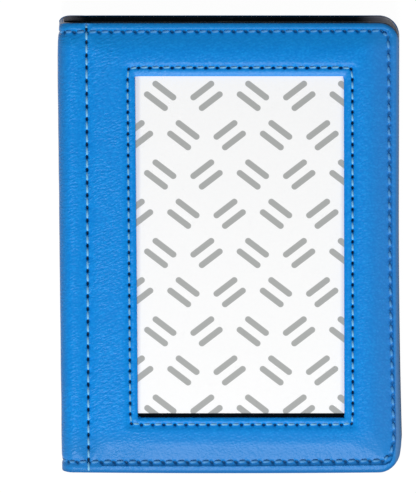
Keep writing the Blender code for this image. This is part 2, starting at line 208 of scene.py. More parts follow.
# Places along the section, worked out from the sizes above
SPINE_HALF = THICKNESS / 2 - FOLD_RADIUS
FOLD_END = SPINE_HALF + FOLD_RADIUS * math.pi / 2
FORE_EDGE = FOLD_END + COVER_WIDTH - FOLD_RADIUS
HINGE_SEAM = FOLD_END + HINGE_SEAM_FROM_SPINE - FOLD_RADIUS
BOARD_EDGE = HINGE_SEAM + BOARD_FROM_HINGE_SEAM
POCKET_MOUTH = FORE_EDGE - POCKET_WIDTH
HEAD = COVER_HEIGHT / 2
WINDOW_LEFT = FOLD_END + WINDOW_FROM_SPINE - FOLD_RADIUS
WINDOW_RIGHT = WINDOW_LEFT + WINDOW_WIDTH
WINDOW_TOP = HEAD - WINDOW_FROM_HEAD
WINDOW_BOTTOM = WINDOW_TOP - WINDOW_HEIGHT
WINDOW_MIDDLE_S = (WINDOW_LEFT + WINDOW_RIGHT) / 2
WINDOW_MIDDLE_V = (WINDOW_BOTTOM + WINDOW_TOP) / 2
PADDING_LIP = WINDOW_SEAM_MARGIN / 2
END_SEAMS = (HEAD - EDGE_SEAM_INSET, EDGE_SEAM_INSET - HEAD)

# Depths of the layers below the outside
PADDING_FLOOR = LEATHER + GLUE_LINE + PADDING
LINING_FACE = PADDING_FLOOR + GLUE_LINE + BOARD + GLUE_LINE
LINING_BACK = LINING_FACE + LINING

# Grids that the layers are cut with
LEATHER_STEP = 0.00052
BACK_LEATHER_STEP = 0.000702
PADDING_STEP = 0.0012
LINING_STEP = 0.0016
LINING_FOLD_STEP = 0.0005
POCKET_STEP_ACROSS, POCKET_STEP_UP = 0.0011, 0.0012
PAPER_STEP = 0.0008

# The two halves: on which side of the spine's middle they are, and what they are called
SIDES = ((1, "front"), (-1, "back"))


class Look(NamedTuple):
    """How a seam looks. Its needle holes can be shallower and have less painted shade where it runs across
    the cover or up it.
    """
    hole_length: float
    hole_width: float
    thread_radius: float
    thread_slant: float
    inset: float
    hole_lean: float = 0.0
    across_darkness: float = 1.0
    up_darkness: float = 1.0


EDGE_LOOK = Look(hole_length=0.00084, hole_width=0.00056, thread_radius=0.00047, thread_slant=0.00015,
                 inset=0.00062, hole_lean=0.26, across_darkness=0.72, up_darkness=0.46)
HINGE_LOOK = Look(hole_length=0.00082, hole_width=0.00052, thread_radius=0.00036, thread_slant=0.00004,
                  inset=0.00050)
WINDOW_LOOK = Look(hole_length=0.00066, hole_width=0.00050, thread_radius=0.00033, thread_slant=0.00006,
                   inset=0.00046, across_darkness=0.85)


class Seam(NamedTuple):
    """A row of needle holes, given by their flat places."""
    holes: list
    look: Look
    closed: bool = False


# Shape of the layers

def turn_ring(first, second, ring_radius):
    """Insets from two sides, moved so that the corner of the square ring they lie on turns in an arc."""
    near, far = min(first, second), max(first, second)
    radius = ring_radius(near)
    if far - near >= radius:
        return first, second
    angle = math.pi / 4 * (1 + (far - near) / radius)
    near_inset = near + radius - radius * math.sin(angle)
    far_inset = near + radius - radius * math.cos(angle)
    return (near_inset, far_inset) if first <= second else (far_inset, near_inset)


def cover_ring(inset):
    """Rings inside the cover's edge turn in tighter arcs."""
    return CORNER_RADIUS - CORNER_TIGHTENING * inset


def window_ring(inset):
    """Rings round the window turn in wider arcs up to its seam, and square up again further out."""
    outset = -inset
    if outset <= WINDOW_SEAM_MARGIN:
        return WINDOW_CORNER + (WINDOW_SEAM_TURN - WINDOW_CORNER) * outset / WINDOW_SEAM_MARGIN
    return WINDOW_SEAM_TURN * (WINDOW_RING_REACH - outset) / (WINDOW_RING_REACH - WINDOW_SEAM_MARGIN)


def turn_window_corner(s, v):
    from_side = WINDOW_WIDTH / 2 - abs(s - WINDOW_MIDDLE_S)
    from_end = WINDOW_HEIGHT / 2 - abs(v - WINDOW_MIDDLE_V)
    if not -WINDOW_RING_REACH < min(from_side, from_end) <= 0:
        return s, v
    side, end = turn_ring(from_side, from_end, window_ring)
    s = WINDOW_MIDDLE_S + math.copysign(WINDOW_WIDTH / 2 - side, s - WINDOW_MIDDLE_S)
    v = WINDOW_MIDDLE_V + math.copysign(WINDOW_HEIGHT / 2 - end, v - WINDOW_MIDDLE_V)
    return s, v


def clamp(share):
    return min(1, max(0, share))


def ease(share):
    """A share from 0 to 1 that starts and ends gently."""
    share = clamp(share)
    return share * share * (3 - 2 * share)


def between(pair, v):
    """A value that changes evenly from the head's to the tail's."""
    head_value, tail_value = pair
    return head_value + (tail_value - head_value) * (0.5 - v / COVER_HEIGHT)


def with_seam(distance, seam=EDGE_SEAM_INSET, reach=FORE_SEAM_REACH):
    """Share of a seam's shift that a point takes at a distance from the cut edge: all of it on the seam."""
    return max(0, min(distance / seam, (reach - distance) / (reach - seam)))


def draw_fore_seam(from_fore, v):
    """Inset from the fore edge, once its seam is drawn nearer the edge than those at head and tail."""
    clear = ease((HEAD - abs(v) - EDGE_SEAM_INSET) / (FORE_SEAM_REACH - EDGE_SEAM_INSET))
    shift = between(FORE_SEAM_SHIFT, v)
    return from_fore - shift * with_seam(from_fore) * clear


def turn_corners(s, v):
    """Flat place of a point once the corners of the window and of the cover are round."""
    s, v = turn_window_corner(s, v)
    s += WINDOW_SEAM_SHIFT * with_seam(s - WINDOW_RIGHT, WINDOW_SEAM_MARGIN, WINDOW_RING_REACH)
    v += WINDOW_SEAM_RISE * with_seam(v - WINDOW_TOP, WINDOW_SEAM_MARGIN, WINDOW_RING_REACH)
    from_end = HEAD - abs(v)
    from_fore = draw_fore_seam(FORE_EDGE - abs(s), v)
    rise = between(SEAM_RISE, v) + END_SEAM_SLANT * max(0, abs(s) - HINGE_SEAM)
    from_end -= math.copysign(rise, v) * with_seam(from_end)
    from_fore, from_end = turn_ring(from_fore, from_end, cover_ring)
    return math.copysign(FORE_EDGE - from_fore, s), math.copysign(HEAD - from_end, v)


def lay(s, v, depth):
    """Lays a point of the flat layers, with its corners turned, round the closed cover."""
    along = abs(s)
    if along <= SPINE_HALF:
        x = depth
        rise = along
    elif along < FOLD_END:
        angle = (along - SPINE_HALF) / FOLD_RADIUS
        x = FOLD_RADIUS - (FOLD_RADIUS - depth) * math.cos(angle)
        rise = SPINE_HALF + (FOLD_RADIUS - depth) * math.sin(angle)
    else:
        x = FOLD_RADIUS + along - FOLD_END
        rise = THICKNESS / 2 - depth
    drop = HEAD_DROP * max(0, 1 - x / HEAD_DROP_WIDTH) ** HEAD_DROP_POWER
    drop *= clamp(1 - (HEAD - v) / HEAD_DROP_REACH)
    middle = 2 * x / COVER_WIDTH - 1
    belly = TAIL_BELLY * max(0, 1 - middle * middle) * ease(1 - (HEAD + v) / TAIL_BELLY_REACH)
    x += wander(x, v)
    return Vector((x + CAD_LOW.x, v - drop - belly, THICKNESS / 2 + math.copysign(rise, s)))


def lean(x, v):
    """Shift across the cover of its spine, seams and window, which stand a hair off square to its head."""
    past_fold = ease(x / HINGE_SEAM_FROM_SPINE)
    past_hinge = ease((x - HINGE_SEAM_FROM_SPINE) / (WINDOW_FROM_SPINE - HINGE_SEAM_FROM_SPINE))
    at_hinge = SPINE_LEAN + (HINGE_LEAN - SPINE_LEAN) * past_fold
    from_fore = clamp((COVER_WIDTH - x) / (COVER_WIDTH - WINDOW_FROM_SPINE))
    return -v * (at_hinge + (COVER_LEAN - HINGE_LEAN) * past_hinge) * math.sqrt(from_fore)


def wander(x, v):
    """Shift across the cover: the lean, and a slight flare of the fore edge towards the tail."""
    inner = WINDOW_FROM_SPINE + WINDOW_WIDTH + WINDOW_SEAM_MARGIN
    from_tail = HEAD + v
    grown = max(0, FORE_FLARE_START - max(from_tail, FORE_FLARE_FROM_TAIL))
    grown = (grown / (FORE_FLARE_START - FORE_FLARE_FROM_TAIL)) ** 2 * ease(from_tail / FORE_FLARE_FROM_TAIL)
    return lean(x, v) + FORE_FLARE * grown * ease((x - inner) / (COVER_WIDTH - inner))


def place(s, v, depth):
    """Place of a point of the flat layers on the closed cover."""
    return lay(*turn_corners(s, v), depth)


def furrow(distance, shoulder, depth=FURROW_DEPTH, power=2):
    """Depth beside a seam: flat under the thread, then a soft shoulder up to the padding."""
    reach = clamp((distance - FURROW_HALF_WIDTH) / shoulder)
    return depth * (1 - reach) ** power


def long_slope(distance):
    """Depth inside the edge seam: an even slope up from it, which rounds off into the crown."""
    past = min(LONG_SLOPE_CROWN, max(0, distance - FURROW_HALF_WIDTH))
    rest = LONG_SLOPE_CROWN - max(past, LONG_SLOPE_END)
    even = max(0, LONG_SLOPE_END - past)
    return LONG_SLOPE * (even + rest * rest / (LONG_SLOPE_CROWN - LONG_SLOPE_END) / 2)


def rim(inset, crest, start, depths):
    """Depth of the narrow roll between the cut edge of the leather and its seam.

    The crest of the roll and the start of the furrow are insets. The depths are at edge, crest and seam.
    """
    edge_depth, crest_depth, seam_depth = depths
    if inset <= crest:
        return edge_depth + (crest_depth - edge_depth) * math.sin(math.pi / 2 * inset / crest)
    return crest_depth + (seam_depth - crest_depth) * ease((inset - crest) / (start - crest))


def edge_border(s, v):
    """Depth of the border that the edge seam makes round the padded part of a cover."""
    near, far = sorted((FORE_EDGE - abs(s), HEAD - abs(v)))
    if near < EDGE_SEAM_INSET:
        crest = EDGE_SEAM_INSET * between(RIM_CREST, v)
        edge_depth = between(RIM_EDGE_DEPTH, v)
        crest_depth = between(RIM_CREST_DEPTH, v)
        short, long = (rim(near, crest, EDGE_SEAM_INSET - FURROW_HALF_WIDTH,
                           (edge_depth, crest_depth, seam_depth))
                       for seam_depth in (FURROW_DEPTH, long_slope(0)))
    else:
        softness = CORNER_SOFTNESS * max(0, near - EDGE_SEAM_INSET - FURROW_HALF_WIDTH)
        overlap = max(0, softness - (far - near))
        inset = near - (overlap * overlap / softness / 4 if softness else 0)
        short = furrow(inset - EDGE_SEAM_INSET, HINGE_SHOULDER)
        long = long_slope(inset - EDGE_SEAM_INSET)
    return short + (long - short) * ease((abs(s) - HINGE_SEAM) / LONG_SLOPE_BLEND)


def deeper(first, second):
    """The larger of two depths, with the ridge where they meet rounded off."""
    overlap = max(0, RIDGE_SOFTNESS - abs(first - second))
    return max(first, second) + overlap * overlap / RIDGE_SOFTNESS / 4


def spine_profile(from_end, v):
    """Depth of the bare spine, which narrows at its head, less at its tail, with a groove for the thread."""
    drop = SPINE_END_DROP if v > 0 else SPINE_TAIL_DROP
    drop *= clamp(1 - from_end / SPINE_END_REACH) ** 2
    beside = abs(from_end - EDGE_SEAM_INSET) - FURROW_HALF_WIDTH
    return drop + SPINE_GROOVE * clamp(1 - beside / SPINE_GROOVE_SHOULDER) ** 2


def plain_profile(s, v):
    """Depth of the leather's outside on the spine and the back cover, as it is sewn."""
    from_end = HEAD - abs(v)
    padded = deeper(edge_border(s, v), furrow(abs(abs(s) - HINGE_SEAM), HINGE_SHOULDER))
    round_fold = clamp((abs(s) - SPINE_HALF) / (FOLD_END - SPINE_HALF))
    bare = spine_profile(from_end, v)
    return bare + (padded - bare) * round_fold


def uneven_crown(s, v, depth):
    """Lets the padding sink a little unevenly, most where it is furthest from a seam."""
    fullness = 1 - min(1, depth / FURROW_DEPTH)
    wave = noise.noise(Vector((s, v, 0)) / CROWN_PATCH)
    return depth + CROWN_UNEVENNESS * fullness * (1 + wave)


def plain_surface(s, v):
    return uneven_crown(s, v, plain_profile(s, v))


def front_surface(s, v):
    """Depth of the leather's outside on the front cover, with the seam round the window."""
    beside = abs(s - WINDOW_MIDDLE_S) - WINDOW_WIDTH / 2
    beyond = abs(v - WINDOW_MIDDLE_V) - WINDOW_HEIGHT / 2
    outset = max(0, beside, beyond)
    if outset < WINDOW_SEAM_MARGIN:
        crest = WINDOW_SEAM_MARGIN * between(LIP_CREST, v)
        depths = (LIP_EDGE_DEPTH, LIP_CREST_DEPTH, WINDOW_FURROW_DEPTH)
        return rim(outset, crest, WINDOW_SEAM_MARGIN, depths)
    from_seam = math.hypot(max(0, beside - WINDOW_SEAM_MARGIN), max(0, beyond - WINDOW_SEAM_MARGIN))
    shoulder = furrow(from_seam, WINDOW_SHOULDER, WINDOW_FURROW_DEPTH, 3)
    return uneven_crown(s, v, deeper(plain_profile(s, v), shoulder))


def under_leather(surface):
    return lambda s, v: surface(s, v) + LEATHER


def under_glue(surface):
    return lambda s, v: surface(s, v) + LEATHER + GLUE_LINE


def lining_face(s, v):
    """The lining hugs the leather round the fold and climbs on to the board past the hinge seam."""
    hug = plain_surface(s, v) + LEATHER + GLUE_LINE
    climb = clamp((abs(s) - FOLD_END) / (BOARD_EDGE - FOLD_END))
    return hug + (LINING_FACE - hug) * climb


def lining_back(s, v):
    return lining_face(s, v) + LINING


def pocket_face(s, v):
    """The pocket lies on the lining along its seam and stands off it by the slot for the passport."""
    from_edge = min(FORE_EDGE - abs(s), HEAD - abs(v))
    lift = clamp((from_edge - EDGE_SEAM_INSET - POCKET_SEAM_ALLOWANCE) / POCKET_LIFT_REACH)
    return LINING_BACK + GLUE_LINE + (POCKET_SLOT - GLUE_LINE) * lift


def pocket_back(s, v):
    """The mouth of the pocket is turned over once, so it stands a little proud there."""
    from_mouth = abs(s) - POCKET_MOUTH
    hem = clamp((POCKET_HEM - from_mouth) / POCKET_HEM_STEP)
    return pocket_face(s, v) + POCKET + POCKET_HEM_RISE * hem


def inside_surface(s, v):
    """Depth of what the needle comes out of on the inside."""
    if abs(s) > POCKET_MOUTH:
        return pocket_back(s, v)
    return lining_back(s, v)


# Seams

def holes_along(corners, pitch, first=0.5):
    """Needle holes on the runs between corners. Each run starts with the given share of a stitch."""
    holes = []
    for start, end in zip(corners, corners[1:]):
        count = round(math.dist(start, end) / pitch)
        for number in range(count):
            share = (number + first) / count
            holes.append((start[0] + (end[0] - start[0]) * share, start[1] + (end[1] - start[1]) * share))
    return holes


def edge_seam(side):
    """The edge seam of one half, from the spine's middle round to it again. Stitches span its corners."""
    fore, head = side * (FORE_EDGE - EDGE_SEAM_INSET), HEAD - EDGE_SEAM_INSET
    return Seam(holes_along([(0, head), (fore, head), (fore, -head), (0, -head)], EDGE_STITCH), EDGE_LOOK)


def hinge_seam(side):
    top = (side * HINGE_SEAM, HEAD - HINGE_HOLE_FROM_HEAD)
    bottom = (side * HINGE_SEAM, HINGE_HOLE_FROM_TAIL - HEAD)
    return Seam(holes_along([top, bottom], HINGE_STITCH, 0) + [bottom], HINGE_LOOK)


def window_edges(margin):
    """Left, right, bottom and top of the window with a margin round it."""
    return WINDOW_LEFT - margin, WINDOW_RIGHT + margin, WINDOW_BOTTOM - margin, WINDOW_TOP + margin


def window_seam():
    """The seam round the window, with a needle hole in each of its corners."""
    left, right, bottom, top = window_edges(WINDOW_SEAM_MARGIN)
    corners = [(left, top), (right, top), (right, bottom), (left, bottom), (left, top)]
    return Seam(holes_along(corners, WINDOW_STITCH, 0), WINDOW_LOOK, closed=True)


def with_directions(seam):
    """Each needle hole of a seam with the way that the seam runs there."""
    holes = [turn_corners(*hole) for hole in seam.holes]
    last = len(holes) - 1
    for number, hole in enumerate(holes):
        before = holes[number - 1] if number or seam.closed else hole
        after = holes[(number + 1) % len(holes)] if number < last or seam.closed else hole
        way = Vector(after) - Vector(before)
        yield hole, way.normalized()


class Mark(NamedTuple):
    """Share of the needle hole's depth and painted shade at a place, how far it is pulled in, and how far off
    the hole is.
    """
    hole: float
    dimple: float
    distance: float


def needle_marks(seams):
    """A function that gives the mark of a flat place."""
    holes = [(hole, way, seam.look) for seam in seams for hole, way in with_directions(seam)]
    tree = KDTree(len(holes))
    for number, hole in enumerate(holes):
        tree.insert((*hole[0], 0), number)
    tree.balance()

    def marks(s, v):
        spot = Vector(turn_corners(s, v))
        number, distance = tree.find((*spot, 0))[1:]
        hole, way, look = holes[number]
        off = spot - Vector(hole)
        off.y += NEEDLE_DROP * abs(way.x)
        along = off.dot(way)
        beside = off.x * -way.y + off.y * way.x + look.hole_lean * along
        within = max(0, 1 - math.hypot(along / look.hole_length, beside / look.hole_width))
        darkness = look.across_darkness + (look.up_darkness - look.across_darkness) * abs(way.y)
        dimple = DIMPLE_DEPTH * math.exp(-(distance / DIMPLE_REACH) ** 2)
        return Mark(min(1, within * HOLE_STEEPNESS) * darkness, dimple, distance)

    return marks


# Cutting and laying the layers

def lines_between(start, end, step, keep=()):
    """Lines about a step apart, with one exactly on each place to keep."""
    stops = sorted({start, end} | {place for place in keep if start < place < end})
    lines = []
    for first, last in zip(stops, stops[1:]):
        count = max(1, round((last - first) / step))
        lines += [first + (last - first) * number / count for number in range(count)]
    return lines + [stops[-1]]


def is_outside(part):
    """True for a vertex, edge or face that lies on the outside of a flat layer."""
    verts = [part] if isinstance(part, bmesh.types.BMVert) else part.verts
    return all(abs(vert.co.z) < 0.5 for vert in verts)


def is_inside(part):
    return all(abs(vert.co.z) > 0.5 for vert in part.verts)


def is_window_wall(face):
    """True for a face of the cut edge round a window."""
    middle = face.calc_center_median()
    inwards = min(abs(middle.x), FORE_EDGE - abs(middle.x), HEAD - abs(middle.y))
    return inwards > EDGE_SEAM_INSET and not is_outside(face) and not is_inside(face)


def cut_sheet(side, s_lines, v_lines, window=None):
    """A layer of one half cut flat along its lines, without the cells in its window.

    Its outside is at height 0 and its inside at 1.
    """
    s_lines = sorted({side * line for line in s_lines})
    bm = bmesh.new()
    columns, rows = len(s_lines) - 1, len(v_lines) - 1
    bmesh.ops.create_grid(bm, x_segments=columns, y_segments=rows, size=1)
    for vert in bm.verts:
        column = round((vert.co.x + 1) / 2 * columns)
        row = round((vert.co.y + 1) / 2 * rows)
        vert.co = (s_lines[column], v_lines[row], 0)
    if window:
        left, right, bottom, top = window
        middles = [(face, face.calc_center_median()) for face in bm.faces]
        cut = [face for face, middle in middles if left < middle.x < right and bottom < middle.y < top]
        bmesh.ops.delete(bm, geom=cut, context="FACES")
    bmesh.ops.solidify(bm, geom=bm.faces[:], thickness=1)
    return bm


def lay_sheet(name, bm, outside, inside, materials, rounding=CUT_EDGE_ROUNDING, painted_rim=0.0):
    """Gives a flat sheet its two faces, lays it round the cover, and rounds and paints its cut edges."""
    cut_edges = []
    for face in bm.faces:
        middle = face.calc_center_median()
        from_edge = min(FORE_EDGE - abs(middle.x), HEAD - abs(middle.y))
        if from_edge < painted_rim or not is_outside(face) and not is_window_wall(face):
            face.material_index = 1
    for edge in bm.edges:
        walls = [face for face in edge.link_faces if not is_outside(face) and not is_inside(face)]
        on_spine_middle = all(abs(vert.co.x) < 1e-6 for vert in edge.verts)
        if len(walls) == 1 and not on_spine_middle:
            cut_edges.append(edge)
    for vert in bm.verts:
        s, v = vert.co.x, vert.co.y
        depth = outside(s, v) if is_outside(vert) else inside(s, v)
        vert.co = place(s, v, depth)
    bmesh.ops.bevel(bm, geom=cut_edges, offset=rounding, segments=2, profile=0.5, affect="EDGES",
                    material=1 if painted_rim else 0, clamp_overlap=True)
    return keep_mesh(name, bm, materials)


def put_in_scene(name, data):
    made = bpy.data.objects.new(name, data)
    bpy.context.scene.collection.objects.link(made)
    return made


def keep_mesh(name, bm, materials, sharp_angle=50):
    bmesh.ops.recalc_face_normals(bm, faces=bm.faces[:])
    for face in bm.faces:
        face.smooth = True
    mesh = bpy.data.meshes.new(name)
    bm.to_mesh(mesh)
    bm.free()
    for material in materials:
        mesh.materials.append(material)
    mesh.set_sharp_from_angle(angle=math.radians(sharp_angle))
    return put_in_scene(name, mesh)


def fold_ends(side):
    """Start and end of the leather's bend between the spine and a cover, going towards the cover."""
    spine_end = THICKNESS / 2 + side * SPINE_HALF
    cover_face = THICKNESS / 2 + side * THICKNESS / 2
    return Vector((CAD_LOW.x, 0, spine_end)), Vector((CAD_LOW.x + FOLD_RADIUS, 0, cover_face))


def bend_with_fold(piece, side):
    """Bakes a piece's placing into its mesh and works out the ends of the fold it lies on, but bends nothing.
    """
    spine_end, cover_end = fold_ends(side)
    if side > 0:
        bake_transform(piece)
        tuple(spine_end)
        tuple(cover_end)
    else:
        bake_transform(piece)
        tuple(cover_end)
        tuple(spine_end)


def refine_round_holes(bm, marks):
    """Cuts the outside of the leather finer round each needle hole."""
    edges = set()
    for face in bm.faces:
        if is_outside(face):
            middle = face.calc_center_median()
            if marks(middle.x, middle.y).distance < HOLE_REFINED:
                edges.update(face.edges)
    bmesh.ops.subdivide_edges(bm, edges=list(edges), cuts=2, use_grid_fill=True)


def make_leather(name, side, surface, window, seams, finish):
    """One half of the outer leather, from the middle of the spine to its fore edge."""
    edge_keep = [FORE_EDGE - inset for inset in (EDGE_SEAM_INSET / 2, EDGE_SEAM_INSET)]
    across_keep = [SPINE_HALF, FOLD_END, HINGE_SEAM] + edge_keep
    up_keep = list(END_SEAMS)
    if window:
        left, right, bottom, top = window
        across_keep += [WINDOW_LEFT - WINDOW_SEAM_MARGIN, left, right, right + WINDOW_SEAM_MARGIN]
        up_keep += [WINDOW_BOTTOM - WINDOW_SEAM_MARGIN, bottom, top, top + WINDOW_SEAM_MARGIN]
    step = LEATHER_STEP if window else BACK_LEATHER_STEP
    s_lines = lines_between(0, FORE_EDGE, step, across_keep)
    bm = cut_sheet(side, s_lines, lines_between(-HEAD, HEAD, step, up_keep), window)
    marks = needle_marks(seams)
    refine_round_holes(bm, marks)
    needle = bm.verts.layers.float.new("needle_hole")
    cut_edge = bm.verts.layers.float.new("cut_edge")
    for vert in bm.verts:
        s, v = vert.co.x, vert.co.y
        if is_outside(vert):
            # Share of the needle hole, which the leather's finish also darkens as painted shade
            vert[needle] = marks(s, v).hole
        # Nearness to the cut edge, for the edge paint and painted shade on the rim
        rim_width = BACK_FOLD_PAINT_AND_SHADE_WIDTH if side < 0 and abs(s) < FOLD_END else RIM_PAINT_AND_SHADE_WIDTH
        vert[cut_edge] = max(0, 1 - min(FORE_EDGE - abs(s), HEAD - abs(v)) / rim_width)

    def outside(s, v):
        mark = marks(s, v)
        return surface(s, v) + mark.dimple + mark.hole * HOLE_DEPTH

    return lay_sheet(name, bm, outside, under_leather(surface), [finish["leather"], finish["edge_paint"]])


# Thread

def stitch_path(start, end, surface, look, way):
    """Centre line of a stitch: up out of its needle hole, over the leather in a low bow and down again.

    A way of 1 is for a stitch on the outside, and -1 for one on the inside.
    """
    first, last = Vector(turn_corners(*start)), Vector(turn_corners(*end))
    run = last - first
    right_hand = Vector((run.y, -run.x)).normalized()
    inset = look.inset / run.length

    def path(share):
        reach = inset + (1 - 2 * inset) * share
        bow = 1 - abs(2 * share - 1) ** STITCH_BOW
        height = (THREAD_SINK + look.thread_radius * 0.5) * bow - THREAD_SINK
        spot = first + run * reach + right_hand * look.thread_slant * (1 - 2 * share)
        spot.y += THREAD_RISE * abs(right_hand.y)
        height -= way * SPINE_THREAD_SINK * ease((FOLD_END - abs(spot.x)) / FOLD_RADIUS)
        flat = Vector(start) + (Vector(end) - Vector(start)) * reach
        return lay(spot.x, spot.y, surface(*flat) - way * height)

    def up(share):
        spot = first + run * (inset + (1 - 2 * inset) * share)
        return (lay(*spot, 0) - lay(*spot, 0.001)).normalized() * way

    return path, up


def draw_thread(bm, path, up, radius):
    """A small sphere drawn out along its path, with blunt ends."""
    made = bmesh.ops.create_uvsphere(bm, u_segments=8, v_segments=8, radius=1, calc_uvs=True)
    nudge = 0.02
    for vert in made["verts"]:
        share = math.acos(max(-1, min(1, vert.co.z))) / math.pi
        middle = path(share)
        run = (path(min(1, share + nudge)) - path(max(0, share - nudge))).normalized()
        side = run.cross(up(share)).normalized()
        over = side.cross(run)
        spread_out = math.hypot(vert.co.x, vert.co.y)
        turn = math.atan2(vert.co.y, vert.co.x)
        swell = radius * min(1, spread_out * THREAD_BLUNTNESS)
        vert.co = middle + side * math.cos(turn) * swell + over * math.sin(turn) * swell * THREAD_FLATNESS


def sew(name, stitches, surface, look, finish, way=1):
    """The stitches of a seam as one piece, on the outside, or on the inside with a way of -1."""
    bm = bmesh.new()
    bm.loops.layers.uv.new("UVMap")
    for start, end in stitches:
        path, up = stitch_path(start, end, surface, look, way)
        draw_thread(bm, path, up, look.thread_radius)
    return keep_mesh(name, bm, [finish], sharp_angle=180)


def stitches_of(seam):
    holes = seam.holes + seam.holes[:1] if seam.closed else seam.holes
    return list(zip(holes, holes[1:]))


def end_stitches(seam):
    """The stitches that run on from both ends of a hinge seam and dive in at the cut edges."""
    first, last = seam.holes[0], seam.holes[-1]
    return [((first[0], HEAD), first), (last, (last[0], -HEAD))]


# Materials

# Colours as linear red, green and blue: the two that a pattern changes between, or one that goes over them
LEATHER_BLUES = (0.0012, 0.229, 0.705), (0.0050, 0.283, 0.785)
MOTTLE_BLUE = (0.0015, 0.213, 0.662)
CREASE_BLUE = (0.010, 0.308, 0.815)
# Painted shade: darker and greyer towards the fore edge, where the padding rolls away from the light
FORE_SHADE_BLUE = (0.045, 0.165, 0.430)
# Painted shade: darker over the fold at the spine, which faces away from the light
SPINE_SHADE_BLUE = (0.028, 0.150, 0.380)
# Painted sheen: greyer towards the tail, where the light's sheen falls on the padding
TAIL_SHEEN_BLUE = (0.016, 0.218, 0.605)
# Painted shade: darker near the head, on the slope that faces away from the light
HEAD_SHADE_BLUE = (0.003, 0.180, 0.480)
# Edge paint run on to the rolled rim, together with painted shade on it
RIM_PAINT_AND_SHADE_BLUE = (0.008, 0.125, 0.360)
# Painted light: a grey-blue line along the very fore edge, where the rolled edge takes light from the pale
# surroundings
FRINGE_LIGHT_BLUE = (0.110, 0.210, 0.370)
# Painted highlight on the lip above the window's head
LIP_HIGHLIGHT_BLUE = (0.060, 0.320, 0.830)
# Painted shade in the needle holes
HOLE_SHADE_BLUE = (0.0003, 0.0065, 0.030)
THREAD_BLUES = (0.085, 0.290, 0.540), (0.270, 0.660, 0.930)
EDGE_THREAD_BLUES = (0.030, 0.200, 0.470), (0.105, 0.370, 0.760)
PAINT_BLACKS = (0.0020, 0.0120, 0.0240), (0.008, 0.025, 0.044)
SMOOTH_BLACK = (0.011, 0.021, 0.035)
CLOTH_BLACKS = (0.0030, 0.0070, 0.0110), (0.008, 0.014, 0.021)
POCKET_BLACKS = (0.0040, 0.0075, 0.0110), (0.008, 0.014, 0.021)
BOARD_BLACKS = (0.0020, 0.0080, 0.0150), (0.007, 0.016, 0.026)
# Greys of painted light at both ends of the head side, the paler one at the fold and the corner's back
CORNER_LIGHT_GREY = (0.36, 0.365, 0.43)
CORNER_BRIGHT_GREY = (0.52, 0.525, 0.57)
FOAM_WHITES = (0.76, 0.76, 0.74), (0.60, 0.60, 0.58)
ADHESIVE_YELLOWS = (0.66, 0.64, 0.55), (0.76, 0.74, 0.66)
PAPER_WHITES = (0.93, 0.935, 0.94), (0.965, 0.965, 0.965)
PAPER_SHADE = (0.62, 0.62, 0.72)
PRINT_GREY = (0.375, 0.385, 0.378)

# Bands where colours fade: from one distance to another, and how strong they are at each of them
CREASES_FADE = (0.018, 0.040, 1, 0.35)
FORE_SHADE_BAND = (0.0035, 0.0125, 0.42, 0)
SPINE_SHADE_BAND = (0.0002, 0.0036, 0.5, 0)
TAIL_SHEEN_BAND = (0.0050, 0.0160, 1, 0)
HEAD_SHADE_BAND = (0.0050, 0.0090, 0.45, 0)
FRINGE_LIGHT_BAND = (0.0003, 0.0011, 0.6, 0)
LIP_SIDE_BAND = (0, 0.0010, 1, 0)
LIP_FOOT_BAND = (-0.0010, 0, 0, 1)
LIP_TOP_BAND = (0.0014, 0.0022, 0.6, 0)
CORNER_LIGHT_FORE = (0.0040, 0.0135, 1, 0)
CORNER_LIGHT_SPINE = (0.0010, 0.0085, 1, 0)
BRIGHT_CORNER_BAND = (0.0030, 0.0060, 1, 0)
BRIGHT_FOLD_BAND = (0.0010, 0.0050, 0.7, 0)
PAPER_SHADE_BAND = (0.0002, 0.0014, 0.6, 0)

# How far in from the head the black is greyed by painted light, on the thick edge and on thin layers, and at
# what levels
EDGE_LIGHT_REACH, CLOTH_LIGHT_REACH = 0.0080, 0.0014
CORNER_LIGHT_LEVELS = (0.68, 0.84, 1, 0.15)
BRIGHT_CORNER_LEVELS = (0.25, 0.45, 1, 0)

# Wrinkles, and the way they turn
WRINKLE_SIZE = (0.0014, 0.00062, 0.0014)
WRINKLE_TURN = 0.42


def wire(tree, kind, inputs=None, **settings):
    """Adds a shader node, with its settings, and values or links on its sockets."""
    made = tree.nodes.new(kind)
    for name, value in settings.items():
        setattr(made, name, value)
    for name, value in (inputs or {}).items():
        if isinstance(value, Field):
            value = value.socket
        if isinstance(value, bpy.types.NodeSocket):
            tree.links.new(value, made.inputs[name])
        else:
            made.inputs[name].default_value = value
    return made


class Field:
    """A value that varies over a finish. Arithmetic with it adds maths nodes."""

    def __init__(self, tree, socket):
        self.tree, self.socket = tree, socket

    def maths(self, operation, second=0.0):
        made = wire(self.tree, "ShaderNodeMath", {0: self, 1: second}, operation=operation)
        return Field(self.tree, made.outputs[0])

    __add__ = partialmethod(maths, "ADD")
    __sub__ = partialmethod(maths, "SUBTRACT")
    __mul__ = partialmethod(maths, "MULTIPLY")
    __truediv__ = partialmethod(maths, "DIVIDE")
    __mod__ = partialmethod(maths, "FLOORED_MODULO")
    __abs__ = partialmethod(maths, "ABSOLUTE")
    floor = partialmethod(maths, "FLOOR")
    root = partialmethod(maths, "SQRT")
    at_least = partialmethod(maths, "MAXIMUM")
    at_most = partialmethod(maths, "MINIMUM")

    def __rsub__(self, other):
        return self * -1 + other

    def spread(self, low, high, to_low=0.0, to_high=1.0):
        """Takes the values from low to high to those of another range, with a smooth start and end."""
        inputs = {"Value": self, "From Min": low, "From Max": high, "To Min": to_low, "To Max": to_high}
        made = wire(self.tree, "ShaderNodeMapRange", inputs, interpolation_type="SMOOTHSTEP")
        return Field(self.tree, made.outputs["Result"])


